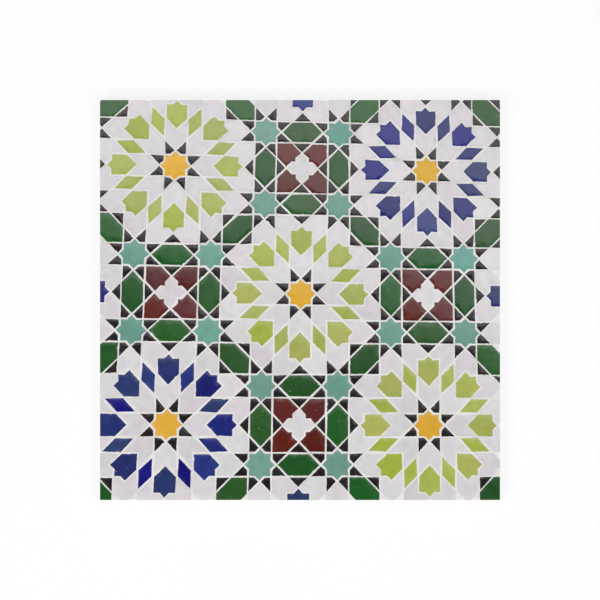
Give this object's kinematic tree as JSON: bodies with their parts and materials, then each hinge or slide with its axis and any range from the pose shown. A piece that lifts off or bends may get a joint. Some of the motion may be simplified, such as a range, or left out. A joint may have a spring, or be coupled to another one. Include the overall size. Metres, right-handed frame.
{
  "type": "moroccan mosaic tile",
  "caption": "Square zellige mosaic panel of hand-cut glazed terracotta pieces in an eight-fold star and rosette pattern, set on a white mortar bed for floors and walls.",
  "frame": {"origin": "centre of the mortar bed's underside", "axes": "+Z out of the glazed face, +X and +Y along the sawn sides, with +Y towards the top of the picture"},
  "size_m": [0.5, 0.5, 0.023],
  "materials": {
    "yellow_glaze": "glossy",
    "black_glaze": "glossy",
    "white_glaze": "glossy",
    "lime_glaze": "glossy",
    "blue_glaze": "glossy",
    "teal_glaze": "glossy",
    "green_glaze": "glossy",
    "red_glaze": "glossy",
    "mortar": "matte"
  },
  "bodies": {
    "root": {"yellow_star": "yellow_glaze", "rosette_dart": "black_glaze", "white_petal": "white_glaze", "lime_rhomb": "lime_glaze", "blue_rhomb": "blue_glaze", "lime_shield": "lime_glaze", "blue_shield": "blue_glaze", "white_wing": "white_glaze", "black_triangle": "black_glaze", "teal_star": "teal_glaze", "star_kite": "black_glaze", "green_hexagon": "green_glaze", "white_cross": "white_glaze", "red_corner": "red_glaze", "mortar_bed": "mortar"}
  },
  "joints": []
}
